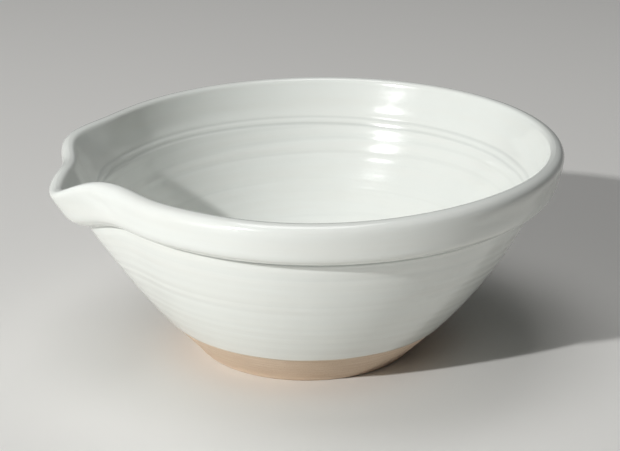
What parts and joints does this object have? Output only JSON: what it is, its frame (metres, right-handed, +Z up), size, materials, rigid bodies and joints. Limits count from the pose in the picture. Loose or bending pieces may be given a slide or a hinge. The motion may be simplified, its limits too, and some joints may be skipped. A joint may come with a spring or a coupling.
{
  "type": "mixing bowl",
  "caption": "Flared round stoneware mixing bowl with a thick collar under the rim, a pulled pouring lip, a glossy white glaze and a bare clay foot.",
  "frame": {"origin": "centre of the foot on the surface the bowl stands on", "axes": "+Z up out of the bowl's mouth, -X towards the pouring lip"},
  "size_m": [0.2933, 0.2781, 0.1231],
  "materials": {
    "bare_stoneware": "matt",
    "white_glaze": "gloss"
  },
  "bodies": {
    "root": {"stoneware_body": "bare_stoneware", "outer_glaze": "white_glaze", "liner_glaze": "white_glaze"}
  },
  "joints": []
}
